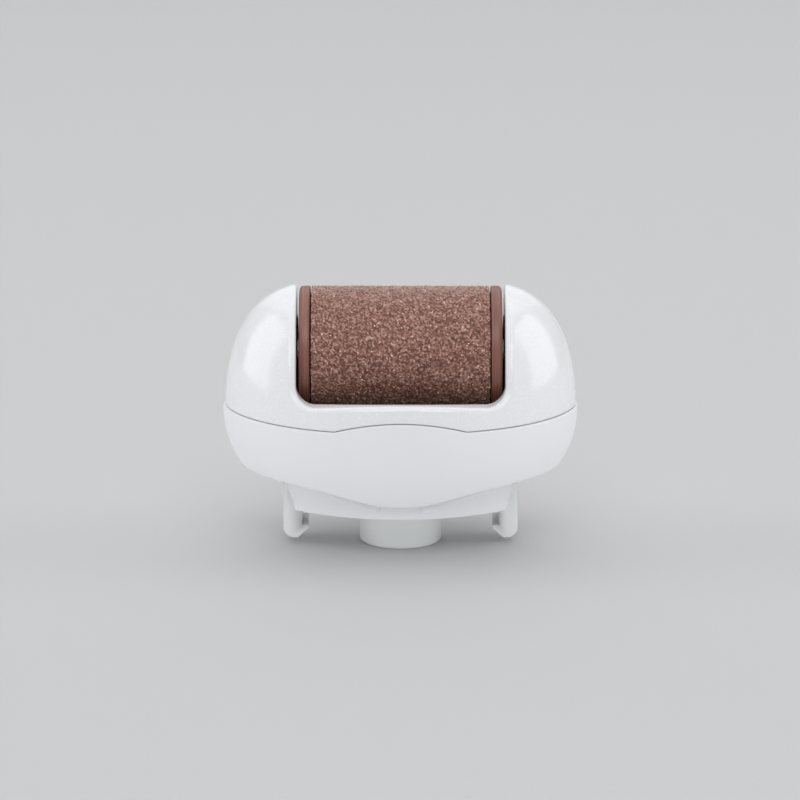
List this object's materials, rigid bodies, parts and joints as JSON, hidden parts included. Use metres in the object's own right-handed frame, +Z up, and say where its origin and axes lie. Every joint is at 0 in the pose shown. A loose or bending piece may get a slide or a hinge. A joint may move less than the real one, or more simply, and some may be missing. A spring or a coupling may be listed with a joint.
{
  "type": "callus remover roller head",
  "caption": "Detachable roller head of an electric callus remover: pearl white shell, brown grit roller, gear drive inside, hooks and a round drive boss below.",
  "frame": {"origin": "centre of the drive boss's bottom face", "axes": "+X along the roller's axis to the right of the picture, +Y away from the camera, +Z up through the roller"},
  "size_m": [0.0654, 0.0448, 0.0487],
  "materials": {
    "pearl_white": "glossy white with a fine pearl fleck",
    "satin_white": "satin moulded white",
    "natural_acetal": "satin natural acetal",
    "dark_plastic": "matt black",
    "black_rubber": "matt black rubber",
    "grey_plastic": "matt grey",
    "brown_plastic": "semi-gloss copper brown",
    "brown_grit": "coarse mineral grit with bright grains",
    "gear_acetal": "satin cream acetal",
    "steel": "ground steel",
    "bronze": "sintered bronze"
  },
  "bodies": {
    "head": {"upper_housing": "pearl_white", "lower_housing": "satin_white", "mounting_plinth": "satin_white", "drive_boss": "natural_acetal", "dust_tray": "dark_plastic", "dust_seals": "black_rubber", "gear_frame": "grey_plastic", "gear_cover": "grey_plastic", "left_bracket": "grey_plastic", "right_bracket": "grey_plastic", "left_axle_bush": "bronze", "right_axle_bush": "bronze", "lay_lower_bush": "bronze", "lay_upper_bush": "bronze", "idler_pin": "steel", "spindle_bush": "bronze", "coupler_bush": "bronze", "coupler_seal": "black_rubber", "housing_screws": "steel", "plinth_screws": "steel", "boss_screws": "steel", "cover_screws": "steel", "bracket_screws": "steel"},
    "roller": {"roller_core": "brown_plastic", "abrasive_sleeve": "brown_grit", "left_roller_hub": "dark_plastic", "right_roller_hub": "dark_plastic", "roller_axle": "steel", "axle_spacers": "steel", "axle_clip": "steel", "bevel_gear": "gear_acetal"},
    "lay": {"lay_shaft": "steel", "lay_gear": "gear_acetal", "bevel_pinion": "gear_acetal"},
    "idler": {"idler_gear": "gear_acetal"},
    "input": {"input_gear": "gear_acetal", "input_spindle": "steel", "drive_coupler": "dark_plastic"},
    "left_latch": {"left_latch_arm": "natural_acetal"},
    "right_latch": {"right_latch_arm": "natural_acetal"}
  },
  "joints": [
    {"name": "roller_spin", "type": "hinge", "parent": "head", "child": "roller", "pos_m": [0, 0, 0.0356], "axis": [1, 0, 0], "continuous": true},
    {"name": "lay_spin", "type": "hinge", "parent": "head", "child": "lay", "pos_m": [-0.025, 0, 0.0225], "axis": [0, 0, 1], "continuous": true},
    {"name": "idler_spin", "type": "hinge", "parent": "head", "child": "idler", "pos_m": [-0.014, 0, 0.0184], "axis": [0, 0, 1], "continuous": true},
    {"name": "input_spin", "type": "hinge", "parent": "head", "child": "input", "pos_m": [0, 0, 0.0184], "axis": [0, 0, 1], "continuous": true},
    {"name": "left_latch_flex", "type": "hinge", "parent": "head", "child": "left_latch", "pos_m": [-0.02, 0, 0.01325], "axis": [0, 1, 0], "range_deg": [0, 6], "stiffness_Nm_per_rad": 0.02},
    {"name": "right_latch_flex", "type": "hinge", "parent": "head", "child": "right_latch", "pos_m": [0.02, 0, 0.01325], "axis": [0, -1, 0], "range_deg": [0, 6], "stiffness_Nm_per_rad": 0.02}
  ],
  "couplings": [
    {"joint": "lay_spin", "follows": "roller_spin", "ratio": 2},
    {"joint": "idler_spin", "follows": "roller_spin", "ratio": -0.75},
    {"joint": "input_spin", "follows": "roller_spin", "ratio": 1}
  ]
}
